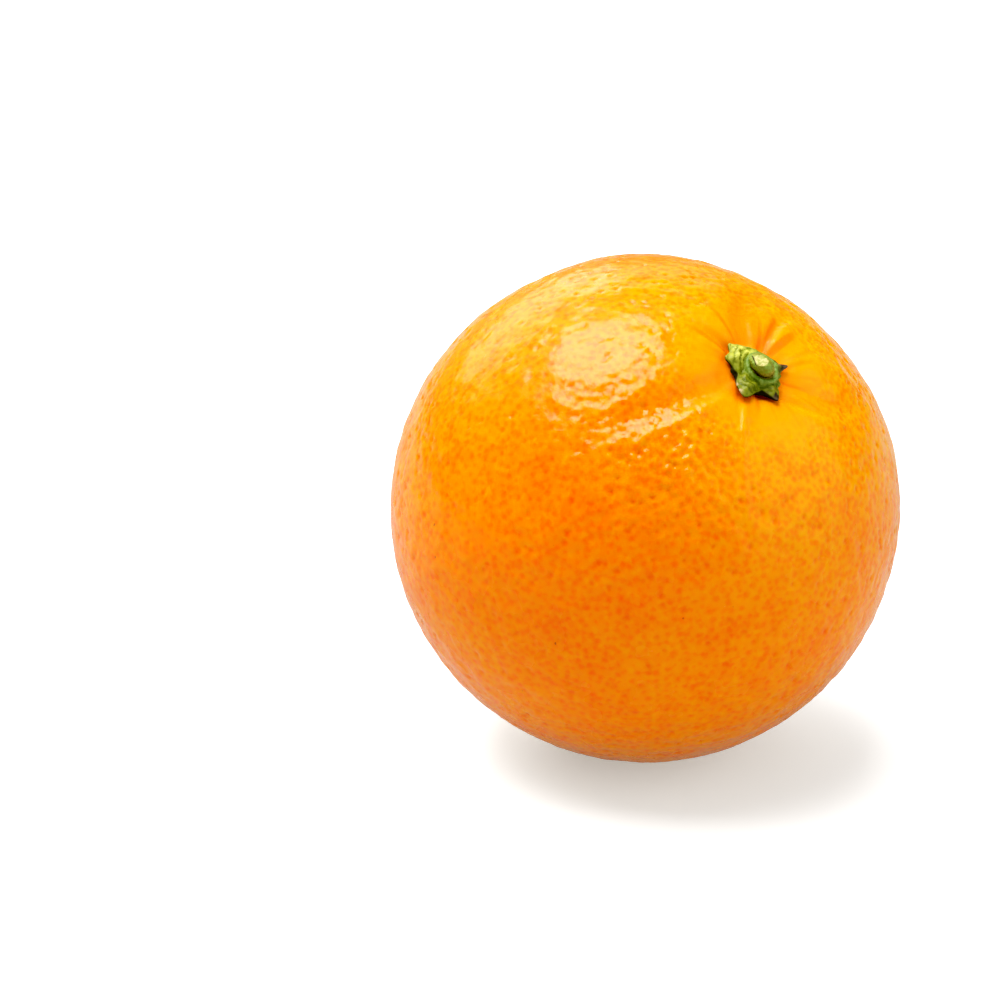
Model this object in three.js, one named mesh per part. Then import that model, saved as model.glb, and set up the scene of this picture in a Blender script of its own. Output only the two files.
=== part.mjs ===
import * as THREE from 'three';
import { mergeVertices } from 'three/addons/utils/BufferGeometryUtils.js';

// A whole sweet orange lying on a table, with its calyx and the stub of its stem. Millimetres, +Z up,
// origin under the middle of the fruit on the table. Each shape is worked out in the fruit's own
// upright frame, whose +Z is the stem, and the group that holds them leans the fruit over.

// The fruit
const fruitRadius = 39;
const flatCut = 0.55;             // how much the resting spot takes off the lowest point
const stemTilt = 40.4;            // degrees that the stem leans from straight up
const stemBearing = -48.4;        // degrees round from +X that it leans towards
const skinFrequency = 24;         // parts that an edge of the first icosahedron is divided into
const stemCrowding = 0.4;         // how far the facets are drawn in towards the stem

// The dent that the calyx sits in, steeper right round it, in a wider flattening of the stem end
const dentDepth = 1.5;
const dentRadius = 7.5;
const innerDentDepth = 0.5;
const innerDentRadius = 5;
const flatteningDepth = 0.5;
const flatteningRadius = 16;

// The dry scar at the blossom end, opposite the stem
const scarDepth = 0.5;
const scarRadius = 2.4;
const scarRimRise = 0.18;
const scarRimRadius = 4.2;
const scarRimWidth = 1.4;

// Creases that run out from the calyx, and ridges, whose depth is negative. bearing is in degrees
// round the stem at creaseStart, swing is in degrees for each millimetre further out; full and reach
// are the distances from the stem at which a crease has its whole depth and has died away.
const creaseStart = 6;
const creases = [
  { bearing: 205, swing: 0.4, depth: 0.8, width: 0.8, full: 5.6, reach: 13.5 },
  { bearing: 192, swing: -0.2, depth: -0.22, width: 1.8, full: 8, reach: 16 },
  { bearing: 240, swing: -0.3, depth: 0.2, width: 2.2, full: 5.4, reach: 16 },
  { bearing: 276, swing: -0.38, depth: 1.05, width: 2.5, full: 6.8, reach: 32 },
  { bearing: 289.5, swing: -0.62, depth: -0.37, width: 1.1, full: 10, reach: 34 },
  { bearing: 268, swing: 0, depth: 0.2, width: 1.1, full: 4.6, reach: 7.8 },
  { bearing: 303, swing: 0.9, depth: 0.5, width: 0.9, full: 6, reach: 11.5 },
  { bearing: 310.5, swing: 1.05, depth: -0.28, width: 0.5, full: 11.5, reach: 26 },
  { bearing: 336, swing: 0, depth: 0.8, width: 1.1, full: 4.6, reach: 7.2 },
  { bearing: 22, swing: 2.6, depth: 0.7, width: 0.9, full: 5.4, reach: 16 },
  { bearing: 12, swing: 2.4, depth: -0.18, width: 1.6, full: 9, reach: 20 },
  { bearing: 46, swing: 1, depth: 0.8, width: 2.2, full: 5.4, reach: 24 },
  { bearing: 84, swing: -0.45, depth: -0.45, width: 2.2, full: 9, reach: 26 },
  { bearing: 104, swing: -0.3, depth: 0.3, width: 1.6, full: 5.6, reach: 18 },
  { bearing: 130, swing: -0.75, depth: 0.7, width: 0.9, full: 5.4, reach: 18 },
  { bearing: 120, swing: -0.75, depth: -0.25, width: 1.4, full: 8.5, reach: 20 },
  { bearing: 163, swing: -1.5, depth: 0.75, width: 2.6, full: 5.6, reach: 23 },
];

// Broad swells and hollows of the round, each by its place, its rise and the angle it spreads over
const swells = [
  { polar: 58, bearing: 73, rise: 0.3, spread: 20 },
  { polar: 48, bearing: 136, rise: -0.25, spread: 9 },
  { polar: 58, bearing: 168, rise: 0.25, spread: 9 },
  { polar: 72, bearing: 189, rise: -0.25, spread: 8 },
  { polar: 88, bearing: 262, rise: 0.2, spread: 14 },
  { polar: 112, bearing: 310, rise: -0.25, spread: 18 },
  { polar: 118, bearing: 105, rise: -0.25, spread: 20 },
  { polar: 150, bearing: 210, rise: 0.2, spread: 16 },
];

// Oil glands: pits in the skin, drawn larger than life so that the facets can hold them
const pitSeed = 1907;
const pitDepth = { least: 0.12, most: 0.3 };
const pitFreeRadius = 9;          // no pits this close to the stem
const pitFreeRest = 8.5;          // or this close to the middle of the resting spot
const facetJitter = 0.3;          // how far a facet's corner strays along the skin

// The calyx, a thick star laid over the skin. Its rim is given by bearing and distance from the stem
const gap = 0.3;                  // left between the pieces that touch
const calyxSides = 90;
const calyxRimRound = 0.3;
const calyxRim = [
  [8, 5.2], [22, 4.4], [40, 4], [64, 4], [73, 4.5], [79, 5.8],
  [85, 4.7], [99, 4.2], [120, 3.9], [134, 3.8], [152, 3.7], [171, 4.1],
  [188, 4.6], [199, 5.3], [206, 5.8], [212, 5.3], [222, 5], [231, 5.2],
  [238, 5.7], [244, 5], [256, 4.3], [274, 4.3], [284, 5.2], [292, 6.1],
  [304, 6.8], [314, 6], [325, 4.8], [336, 4.4], [347, 4.9], [356, 6.3],
];
const calyxLobes = [
  { bearing: 220, width: 27, bulge: 0.45, lift: 0.1, thickness: 0.65 },
  { bearing: 303, width: 22, bulge: 0.4, lift: 0.2, thickness: 0.5 },
  { bearing: 354, width: 18, bulge: 0.35, lift: 0.35, thickness: 0.45 },
  { bearing: 79, width: 11, bulge: 0, lift: 0.45, thickness: 0.35 },
  { bearing: 145, width: 24, bulge: 0.15, lift: 0.05, thickness: 0.5 },
];
const calyxFurrows = [
  { bearing: 264, depth: 0.42 },
  { bearing: 332, depth: 0.45 },
  { bearing: 32, depth: 0.32 },
  { bearing: 176, depth: 0.28 },
];
const liftSpread = 0.8;           // share of a lobe's width that its rim is lifted over
const bulgeOutset = 0.2;          // how far past halfway to the rim a lobe is thickest
const bulgeSpread = 0.36;
const furrowWidth = 0.4;
const furrowStart = { none: 0.3, full: 1 };         // past the crest of the collar
const plateHeight = 1.18;
const plainThickness = 0.5;       // of the rim between the lobes
const plainWeight = 0.25;
const rimSlope = 1.7;             // how far in from the rim the top starts to fall
const curlStart = 0.55;           // share of the way to the rim where the underside starts to lift
const collarMiddle = new THREE.Vector2(0.52, 0.4);  // the collar and stub stand off the stem line
const collarRadius = 2.44;
const collarWidth = 0.54;
const collarHeight = 0.62;        // over the plate, half round in section
const seatWall = { foot: 2.14, top: 2.44 };         // of the dish that the stub stands in
const seatFloor = 0.85;

// The stub of the stem: a short knob that leans over as it rises and is cut off on a slant
const stubLength = 2.7;
const stubLean = new THREE.Vector2(-0.4, -1.8);
const stubBend = 1.3;             // power of its height by which it bends over
const stubCutTilt = 20;
const stubCutBearing = 20;
const stubCutStart = 0.35;        // share of its length where the slant begins
const stubSides = 28;
const stubOutline = [
  [0, 0], [1.45, 0], [1.66, 0.04], [1.72, 0.18], [1.84, 0.38], [1.91, 0.55],
  [1.85, 0.72], [1.66, 0.85], [1.43, 0.93], [1.2, 0.975], [1.04, 0.99], [0, 1],
];

const peel = new THREE.MeshStandardMaterial({ color: 0xff9a14, roughness: 0.38, metalness: 0 });
const calyxGreen = new THREE.MeshStandardMaterial({ color: 0x7d9c35, roughness: 0.6, metalness: 0 });
const stubGreen = new THREE.MeshStandardMaterial({ color: 0xa6a850, roughness: 0.65, metalness: 0 });

const degrees = THREE.MathUtils.degToRad;
const leaning = new THREE.Euler(0, degrees(stemTilt), degrees(stemBearing), 'ZYX');
const restDirection = new THREE.Vector3(0, 0, -1);
restDirection.applyQuaternion(new THREE.Quaternion().setFromEuler(leaning).invert());
const restReach = fruitRadius - flatCut;

function bell(distance, radius) {
  return Math.exp(-((distance / radius) ** 2));
}

function directionAt(polar, bearing) {
  return new THREE.Vector3(
    Math.sin(polar) * Math.cos(bearing),
    Math.sin(polar) * Math.sin(bearing),
    Math.cos(polar),
  );
}

// Depth of every crease at a place: a bell across its course, faded in and out along it
function creaseDepth(polar, bearing) {
  const out = polar * fruitRadius;
  const girth = Math.sin(polar) * fruitRadius;
  let depth = 0;
  for (const crease of creases) {
    const course = degrees(crease.bearing + crease.swing * (out - creaseStart));
    const turn = Math.atan2(Math.sin(bearing - course), Math.cos(bearing - course));
    const fadeIn = THREE.MathUtils.smoothstep(out, 0.6 * crease.full, crease.full);
    const fadeOut = 1 - THREE.MathUtils.smoothstep(out, 0.45 * crease.reach, crease.reach);
    depth += crease.depth * bell(girth * turn, crease.width) * fadeIn * fadeOut;
  }
  return depth;
}

// Distance from the fruit's middle to its skin in one direction, before the creases and pits
function evenReach(direction) {
  const polar = direction.angleTo(new THREE.Vector3(0, 0, 1));
  const fromStem = polar * fruitRadius;
  const fromScar = (Math.PI - polar) * fruitRadius;
  let reach = fruitRadius;
  reach -= dentDepth * bell(fromStem, dentRadius);
  reach -= innerDentDepth * bell(fromStem, innerDentRadius);
  reach -= flatteningDepth * bell(fromStem, flatteningRadius);
  reach -= scarDepth * bell(fromScar, scarRadius);
  reach += scarRimRise * bell(fromScar - scarRimRadius, scarRimWidth);
  for (const swell of swells) {
    const middle = directionAt(degrees(swell.polar), degrees(swell.bearing));
    reach += swell.rise * bell(direction.angleTo(middle), degrees(swell.spread));
  }
  return reach;
}

function skinReach(direction) {
  const polar = direction.angleTo(new THREE.Vector3(0, 0, 1));
  return evenReach(direction) - creaseDepth(polar, Math.atan2(direction.y, direction.x));
}

// A point above the skin: its distance from the stem along the skin, its bearing and its height
function pointOverSkin(fromStem, bearing, height) {
  const direction = directionAt(fromStem / fruitRadius, bearing);
  return direction.multiplyScalar(evenReach(direction) + height);
}

function seededRandom(seed) {
  let state = seed;
  return () => {
    state = (state * 1664525 + 1013904223) % 4294967296;
    return state / 4294967296;
  };
}

// Closes a geometry over its shared corners, so that only positions are left
function welded(geometry) {
  geometry.deleteAttribute('normal');
  geometry.deleteAttribute('uv');
  return mergeVertices(geometry, 1e-4);
}

// Moves every corner to where place() puts it
function reshaped(geometry, place) {
  const corners = geometry.attributes.position;
  const corner = new THREE.Vector3();
  for (let i = 0; i < corners.count; i += 1) {
    corner.fromBufferAttribute(corners, i);
    const placed = place(corner.clone(), i);
    corners.setXYZ(i, placed.x, placed.y, placed.z);
  }
  geometry.computeVertexNormals();
  return geometry;
}

function neighboursOf(geometry) {
  const neighbours = Array.from({ length: geometry.attributes.position.count }, () => new Set());
  const index = geometry.index.array;
  for (let i = 0; i < index.length; i += 3) {
    for (let side = 0; side < 3; side += 1) {
      const from = index[i + side];
      const to = index[i + ((side + 1) % 3)];
      neighbours[from].add(to);
      neighbours[to].add(from);
    }
  }
  return neighbours;
}

// Draws pits at corners in a shuffled order, never at two corners that share an edge
function drawPits(neighbours, random) {
  const order = neighbours.map((_, corner) => ({ corner, draw: random() }));
  order.sort((a, b) => a.draw - b.draw);
  const depth = new Array(neighbours.length).fill(0);
  for (const { corner } of order) {
    const crowded = [...neighbours[corner]].some((next) => depth[next] > 0);
    if (!crowded) depth[corner] = THREE.MathUtils.lerp(pitDepth.least, pitDepth.most, random());
  }
  return depth;
}

// The fruit: an icosahedron's finely divided faces, drawn in towards the stem, set out to the skin,
// pitted, and cut flat by the resting spot
function makeFruit() {
  const geometry = welded(new THREE.IcosahedronGeometry(1, skinFrequency - 1));
  const random = seededRandom(pitSeed);
  const pits = drawPits(neighboursOf(geometry), random);
  const place = (corner, i) => {
    const bearing = Math.atan2(corner.y, corner.x);
    const evenly = Math.acos(THREE.MathUtils.clamp(corner.z, -1, 1));
    const crowding = stemCrowding * Math.sin(evenly) * (1 + Math.cos(evenly)) / 2;
    const direction = directionAt(evenly - crowding, bearing);
    const stray = new THREE.Vector3(random() - 0.5, random() - 0.5, random() - 0.5);
    direction.addScaledVector(stray, 2 * facetJitter / fruitRadius).normalize();
    const stemDistance = direction.angleTo(new THREE.Vector3(0, 0, 1)) * fruitRadius;
    const restDistance = direction.angleTo(restDirection) * fruitRadius;
    const pitted = stemDistance > pitFreeRadius && restDistance > pitFreeRest;
    const point = direction.clone().multiplyScalar(skinReach(direction) - (pitted ? pits[i] : 0));
    const overshoot = point.dot(restDirection) - restReach;
    if (overshoot > 0) point.addScaledVector(restDirection, -overshoot);
    return point;
  };
  const fruit = new THREE.Mesh(reshaped(geometry, place), peel);
  fruit.name = 'fruit';
  return fruit;
}

// Signed angle in degrees from a heading, between -180 and 180
function turnAway(bearing, heading) {
  const turn = bearing - degrees(heading);
  return THREE.MathUtils.radToDeg(Math.atan2(Math.sin(turn), Math.cos(turn)));
}

// The calyx's rim runs straight from point to point
function calyxReach(bearing) {
  const heading = THREE.MathUtils.euclideanModulo(THREE.MathUtils.radToDeg(bearing), 360);
  const after = calyxRim.findIndex(([at]) => at > heading);
  const to = calyxRim[Math.max(after, 0)];
  const from = calyxRim.at(after < 1 ? -1 : after - 1);
  const span = THREE.MathUtils.euclideanModulo(to[0] - from[0], 360);
  const share = THREE.MathUtils.euclideanModulo(heading - from[0], 360) / span;
  return THREE.MathUtils.lerp(from[1], to[1], share);
}

function calyxLift(bearing) {
  let lift = 0;
  for (const lobe of calyxLobes) {
    lift += lobe.lift * bell(turnAway(bearing, lobe.bearing), liftSpread * lobe.width);
  }
  return lift;
}

function calyxThickness(bearing) {
  let weight = plainWeight;
  let total = weight * plainThickness;
  for (const lobe of calyxLobes) {
    const share = bell(turnAway(bearing, lobe.bearing), lobe.width);
    weight += share;
    total += share * lobe.thickness;
  }
  return total / weight;
}

// Height of the calyx's top over the skin: a plate with bulging lobes and furrows between them,
// falling to the rim, with the collar on it and the seat of the stub inside the collar
function calyxTop(out, bearing) {
  const reach = calyxReach(bearing);
  const aside = out * Math.cos(bearing) - collarMiddle.x;
  const along = out * Math.sin(bearing) - collarMiddle.y;
  const collar = Math.hypot(aside, along);
  const bulgeAt = 0.5 * (collarRadius + reach) + bulgeOutset;
  let height = plateHeight;
  for (const lobe of calyxLobes) {
    const share = bell(turnAway(bearing, lobe.bearing), lobe.width);
    height += lobe.bulge * share * bell(out - bulgeAt, bulgeSpread * bulgeAt);
  }
  const pastCrest = collar - collarRadius;
  const beyondCollar = THREE.MathUtils.smoothstep(pastCrest, furrowStart.none, furrowStart.full);
  for (const furrow of calyxFurrows) {
    const across = out * degrees(turnAway(bearing, furrow.bearing));
    height -= furrow.depth * bell(across, furrowWidth) * beyondCollar;
  }
  const level = reach - calyxRimRound;
  const edge = gap + calyxLift(bearing) + calyxThickness(bearing);
  height = THREE.MathUtils.lerp(height, edge, THREE.MathUtils.smoothstep(out, level - rimSlope, level));
  const section = 1 - (pastCrest / collarWidth) ** 2;
  height += collarHeight * Math.sqrt(Math.max(section, 0));
  const wall = THREE.MathUtils.smoothstep(collar, seatWall.foot, seatWall.top);
  return THREE.MathUtils.lerp(seatFloor, height, wall);
}

// The calyx's closed surface in turned rows, from the middle of the underside, round the rim, over
// the lobes to the foot of the collar, over the collar and down into the seat
const calyxRows = [
  ...[0, 0.3, 0.6, 0.85].map((share) => ({ part: 'underside', share })),
  ...[-90, -45, 0, 45, 90].map((angle) => ({ part: 'rim', angle: degrees(angle) })),
  ...[0.12, 0.28, 0.46, 0.64, 0.82].map((share) => ({ part: 'lobes', share })),
  ...[1, 0.85, 0.5, 0, -0.18, -0.37, -0.55].map((share) => (
    { part: 'collar', radius: collarRadius + share * collarWidth })),
  ...[1.5, 0.7, 0].map((radius) => ({ part: 'collar', radius })),
];

function calyxPoint(row, bearing) {
  const around = new THREE.Vector2(Math.cos(bearing), Math.sin(bearing));
  const level = calyxReach(bearing) - calyxRimRound;
  const lift = calyxLift(bearing);
  if (row.part === 'underside') {
    const height = gap + lift * THREE.MathUtils.smoothstep(row.share, curlStart, 1);
    return pointOverSkin(row.share * level, bearing, height);
  }
  if (row.part === 'rim') {
    const height = gap + lift + 0.5 * calyxThickness(bearing) * (1 + Math.sin(row.angle));
    return pointOverSkin(level + calyxRimRound * Math.cos(row.angle), bearing, height);
  }
  const radius = row.part === 'collar' ? row.radius : collarRadius + collarWidth;
  const spot = collarMiddle.clone().addScaledVector(around, radius);
  if (row.part === 'lobes') spot.lerp(around.multiplyScalar(level), 1 - row.share);
  return pointOverSkin(spot.length(), spot.angle(), calyxTop(spot.length(), spot.angle()));
}

function makeCalyx() {
  const last = calyxRows.length - 1;
  const profile = calyxRows.map((_, i) => new THREE.Vector2(i === 0 || i === last ? 0 : 1, i));
  const geometry = welded(new THREE.LatheGeometry(profile, calyxSides));
  const place = (corner) => calyxPoint(calyxRows[Math.round(corner.y)], Math.atan2(corner.x, corner.z));
  const calyx = new THREE.Mesh(reshaped(geometry, place), calyxGreen);
  calyx.name = 'calyx';
  return calyx;
}

// The stub: a turned knob, bent over as it rises, its upper part sheared to the slant of the cut
function makeStub() {
  const profile = stubOutline.map(([radius, share]) => new THREE.Vector2(radius, share * stubLength));
  const geometry = welded(new THREE.LatheGeometry(profile, stubSides));
  const seat = pointOverSkin(0, 0, seatFloor + gap);
  const slope = Math.tan(degrees(stubCutTilt));
  const uphill = new THREE.Vector2(Math.cos(degrees(stubCutBearing)), Math.sin(degrees(stubCutBearing)));
  const place = (corner) => {
    const share = corner.y / stubLength;
    const bent = share ** stubBend;
    const slant = slope * (corner.z * uphill.x + corner.x * uphill.y);
    return new THREE.Vector3(
      corner.z + bent * stubLean.x + collarMiddle.x,
      corner.x + bent * stubLean.y + collarMiddle.y,
      corner.y + slant * THREE.MathUtils.smoothstep(share, stubCutStart, 1) + seat.z,
    );
  };
  const stub = new THREE.Mesh(reshaped(geometry, place), stubGreen);
  stub.name = 'stem_stub';
  return stub;
}

const orange = new THREE.Group();
orange.add(makeFruit(), makeCalyx(), makeStub());
orange.setRotationFromEuler(leaning);
orange.position.z = restReach;

export default orange;
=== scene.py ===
import bpy
import numpy as np
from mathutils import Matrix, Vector


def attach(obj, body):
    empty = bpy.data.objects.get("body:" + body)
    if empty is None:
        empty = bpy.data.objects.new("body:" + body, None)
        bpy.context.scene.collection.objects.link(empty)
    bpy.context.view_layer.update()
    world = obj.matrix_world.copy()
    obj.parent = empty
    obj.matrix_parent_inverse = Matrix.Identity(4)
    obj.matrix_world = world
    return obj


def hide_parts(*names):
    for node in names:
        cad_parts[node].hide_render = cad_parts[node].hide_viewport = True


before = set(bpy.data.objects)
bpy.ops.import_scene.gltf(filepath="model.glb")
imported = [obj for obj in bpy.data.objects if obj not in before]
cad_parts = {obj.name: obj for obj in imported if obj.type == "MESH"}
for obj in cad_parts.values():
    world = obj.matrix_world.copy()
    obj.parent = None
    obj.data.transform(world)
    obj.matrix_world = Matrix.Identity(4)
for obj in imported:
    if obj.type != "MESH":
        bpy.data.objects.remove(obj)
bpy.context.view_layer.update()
print("frame loaded:", sorted(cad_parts))

# The fruit is worked out in its own upright frame, whose +Z is the stem, in metres, and every
# piece is then leaned over the way the orange lies.
fruitForm = {
    "radius": 0.039,
    "flatCut": 0.00055,        # what the resting spot takes off the lowest point
    "stemTilt": 40.4,          # degrees from straight up
    "stemBearing": -48.4,      # degrees round from +X
    "dentDepth": 0.0015,
    "dentRadius": 0.0075,
    "innerDentDepth": 0.0005,  # the steeper fall right round the calyx
    "innerDentRadius": 0.0050,
    "flatteningDepth": 0.0005,
    "flatteningRadius": 0.016,
    "scarDepth": 0.0005,
    "scarRadius": 0.0024,
    "scarRimRise": 0.00018,
    "scarRimRadius": 0.0042,
    "scarRimWidth": 0.0014,
    "creaseStart": 0.006,      # distance from the stem where each crease has its own bearing
    "creaseFadeIn": 0.6,       # share of its full distance where a crease begins
    "creaseFadeOut": 0.45,     # share of its reach where it begins to die away
    # bearing at the start, swing in degrees per metre further out, then depth, width and the
    # distances from the stem at which the crease is in full and has died away; a depth below
    # nothing is a ridge
    "creases": [
        (205, 400, 0.00080, 0.0008, 0.0056, 0.0135),
        (192, -200, -0.00022, 0.0018, 0.0080, 0.016),
        (240, -300, 0.00020, 0.0022, 0.0054, 0.016),
        (276, -380, 0.00105, 0.0025, 0.0068, 0.032),
        (289.5, -620, -0.00037, 0.0011, 0.0100, 0.034),
        (268, 0, 0.00020, 0.0011, 0.0046, 0.0078),
        (303, 900, 0.00050, 0.0009, 0.0060, 0.0115),
        (310.5, 1050, -0.00034, 0.0005, 0.0115, 0.026),
        (336, 0, 0.00080, 0.0011, 0.0046, 0.0072),
        (22, 2600, 0.00070, 0.0009, 0.0054, 0.016),
        (12, 2400, -0.00018, 0.0016, 0.0090, 0.020),
        (46, 1000, 0.00080, 0.0022, 0.0054, 0.024),
        (84, -450, -0.00045, 0.0022, 0.0090, 0.026),
        (104, -300, 0.00030, 0.0016, 0.0056, 0.018),
        (130, -750, 0.00070, 0.0009, 0.0054, 0.018),
        (120, -750, -0.00025, 0.0014, 0.0085, 0.020),
        (163, -1500, 0.00075, 0.0026, 0.0056, 0.023),
    ],
    # polar angle, bearing, rise and spread of each broad swell, the angles in degrees
    "swells": [
        (58, 73, 0.00030, 20),
        (48, 136, -0.00025, 9),
        (58, 168, 0.00025, 9),
        (72, 189, -0.00025, 8),
        (88, 262, 0.00020, 14),
        (112, 310, -0.00025, 18),
        (118, 105, -0.00025, 20),
        (150, 210, 0.00020, 16),
    ],
}


def bell(distance, radius):
    # falls from 1 to 0 as exp(-(distance / radius) squared)
    return np.exp(-(distance / radius) ** 2)


def smoothRamp(value, low, high):
    # cubic ramp from 0 at low to 1 at high
    t = np.clip((value - low) / (high - low), 0, 1)
    return t * t * (3 - 2 * t)


def directionsAt(polar, bearing):
    # unit vectors at polar angles from the stem and bearings round it
    return np.stack([np.sin(polar) * np.cos(bearing), np.sin(polar) * np.sin(bearing),
                     np.cos(polar) * np.ones_like(bearing)], axis=-1)


def angleFrom(directions, polar, bearing):
    # angle between each direction and the spot at a polar angle and bearing in degrees
    spot = directionsAt(np.radians(polar), np.radians(np.array([bearing])))[0]
    return np.arccos(np.clip(directions @ spot, -1, 1))


def turnAway(bearing, heading):
    # signed angle in degrees from a heading, between -180 and 180
    turn = bearing - np.radians(heading)
    return np.degrees(np.arctan2(np.sin(turn), np.cos(turn)))


def creaseDepths(polar, bearing):
    # each crease is a bell across its course, faded in from the calyx and out at its reach
    form = fruitForm
    out = polar * form["radius"]
    girth = np.sin(polar) * form["radius"]
    depth = np.zeros_like(out)
    for heading, swing, deep, width, full, reach in form["creases"]:
        course = np.radians(heading + swing * (out - form["creaseStart"]))
        turn = np.arctan2(np.sin(bearing - course), np.cos(bearing - course))
        fade = smoothRamp(out, form["creaseFadeIn"] * full, full)
        fade *= 1 - smoothRamp(out, form["creaseFadeOut"] * reach, reach)
        depth += deep * bell(girth * turn, width) * fade
    return depth


def evenReach(polar, bearing):
    # distance from the fruit's middle to its skin without the creases: the radius, less the dents
    # at the stem, with the blossom scar at the far end and the broad swells
    form = fruitForm
    fromStem = polar * form["radius"]
    fromScar = (np.pi - polar) * form["radius"]
    reach = form["radius"] - form["dentDepth"] * bell(fromStem, form["dentRadius"])
    reach = reach - form["innerDentDepth"] * bell(fromStem, form["innerDentRadius"])
    reach = reach - form["flatteningDepth"] * bell(fromStem, form["flatteningRadius"])
    reach -= form["scarDepth"] * bell(fromScar, form["scarRadius"])
    reach += form["scarRimRise"] * bell(fromScar - form["scarRimRadius"], form["scarRimWidth"])
    directions = directionsAt(polar, bearing)
    for swellPolar, swellBearing, rise, spread in form["swells"]:
        reach += rise * bell(angleFrom(directions, swellPolar, swellBearing), np.radians(spread))
    return reach


def turnMatrix():
    # leans the stem over, then turns it to its bearing
    tilt, bearing = np.radians(fruitForm["stemTilt"]), np.radians(fruitForm["stemBearing"])
    lean = np.array([[np.cos(tilt), 0, np.sin(tilt)], [0, 1, 0], [-np.sin(tilt), 0, np.cos(tilt)]])
    turn = np.array([[np.cos(bearing), -np.sin(bearing), 0],
                     [np.sin(bearing), np.cos(bearing), 0],
                     [0, 0, 1]])
    return turn @ lean


ownToRest = turnMatrix()
restReach = fruitForm["radius"] - fruitForm["flatCut"]
fruitMiddle = np.array([0, 0, restReach])


def atRest(points):
    # from the fruit's own upright frame to the way it lies
    return points @ ownToRest.T + fruitMiddle


def waveField(points, unevenness, seed):
    # smooth noise of about unit strength: a sum of plane waves in random directions and phases. The
    # unevenness gives a height, which is left to the caller, the wavelength and the number of waves
    _, wavelength, waveCount = unevenness
    rng = np.random.default_rng(seed)
    headings = rng.normal(size=(waveCount, 3))
    headings /= np.linalg.norm(headings, axis=1, keepdims=True)
    lengths = wavelength * rng.uniform(0.75, 1.35, waveCount)
    phases = rng.uniform(0, 2 * np.pi, waveCount)
    waves = np.cos(points @ (headings * (2 * np.pi / lengths)[:, None]).T + phases)
    return waves.sum(axis=-1) * np.sqrt(2 / waveCount)


def meshObject(name, points, faces, attributes):
    # one object at the origin from whole arrays, smooth shaded, with its float attributes
    mesh = bpy.data.meshes.new(name)
    corners = faces.shape[1]
    mesh.vertices.add(len(points))
    mesh.vertices.foreach_set("co", points.astype(np.float32).ravel())
    mesh.loops.add(faces.size)
    mesh.loops.foreach_set("vertex_index", faces.astype(np.int32).ravel())
    mesh.polygons.add(len(faces))
    mesh.polygons.foreach_set("loop_start", np.arange(0, faces.size, corners, dtype=np.int32))
    mesh.polygons.foreach_set("use_smooth", np.ones(len(faces), dtype=bool))
    for title, values in attributes.items():
        layer = mesh.attributes.new(title, "FLOAT", "POINT")
        layer.data.foreach_set("value", values.astype(np.float32))
    mesh.update(calc_edges=True)
    mesh.validate()
    made = bpy.data.objects.new(name, mesh)
    bpy.context.scene.collection.objects.link(made)
    return made


def geodesicSphere(frequency):
    # an icosahedron whose faces are divided into a lattice and pushed out to the unit sphere
    golden = (1 + 5 ** 0.5) / 2
    corners = np.array([(-1, golden, 0), (1, golden, 0), (-1, -golden, 0), (1, -golden, 0),
                        (0, -1, golden), (0, 1, golden), (0, -1, -golden), (0, 1, -golden),
                        (golden, 0, -1), (golden, 0, 1), (-golden, 0, -1), (-golden, 0, 1)])
    sides = np.array([(0, 11, 5), (0, 5, 1), (0, 1, 7), (0, 7, 10), (0, 10, 11),
                      (1, 5, 9), (5, 11, 4), (11, 10, 2), (10, 7, 6), (7, 1, 8),
                      (3, 9, 4), (3, 4, 2), (3, 2, 6), (3, 6, 8), (3, 8, 9),
                      (4, 9, 5), (2, 4, 11), (6, 2, 10), (8, 6, 7), (9, 8, 1)])
    row, column = np.meshgrid(np.arange(frequency + 1), np.arange(frequency + 1), indexing="ij")
    inside = row + column <= frequency
    place = np.full(inside.shape, -1)
    place[inside] = np.arange(inside.sum())
    row, column = row[inside], column[inside]
    weights = np.stack([row, column, frequency - row - column], axis=1)
    upward = inside[:-1, :-1] & inside[1:, :-1] & inside[:-1, 1:]
    downward = upward & inside[1:, 1:]
    here, below = place[:-1, :-1], place[1:, :-1]
    beside, across = place[:-1, 1:], place[1:, 1:]
    lattice = np.concatenate([
        np.stack([here[upward], below[upward], beside[upward]], axis=1),
        np.stack([below[downward], across[downward], beside[downward]], axis=1)])
    points = np.einsum("pw,fwc->fpc", weights / frequency, corners[sides])
    faces = lattice[None] + (np.arange(len(sides)) * len(weights))[:, None, None]
    points = points.reshape(-1, 3)
    points /= np.linalg.norm(points, axis=1, keepdims=True)
    keys = np.round(points * 1e6).astype(np.int64)
    _, first, shared = np.unique(keys, axis=0, return_index=True, return_inverse=True)
    return points[first], shared.ravel()[faces.reshape(-1, 3)]


def linksWithinTwo(faces, count):
    # every pair of corners that are one or two edges apart
    edges = np.concatenate([faces[:, [0, 1]], faces[:, [1, 2]], faces[:, [2, 0]]])
    links = np.unique(np.concatenate([edges, edges[:, ::-1]]), axis=0)
    starts = np.searchsorted(links[:, 0], np.arange(count))
    sizes = np.diff(np.append(starts, len(links)))
    reachable = sizes[links[:, 1]]
    beyond = np.repeat(links[:, 0], reachable)
    step = np.arange(len(beyond)) - np.repeat(np.cumsum(reachable) - reachable, reachable)
    further = links[np.repeat(starts[links[:, 1]], reachable) + step, 1]
    pairs = np.unique(np.concatenate([links, np.stack([beyond, further], axis=1)]), axis=0)
    return pairs[pairs[:, 0] != pairs[:, 1]]


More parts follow.
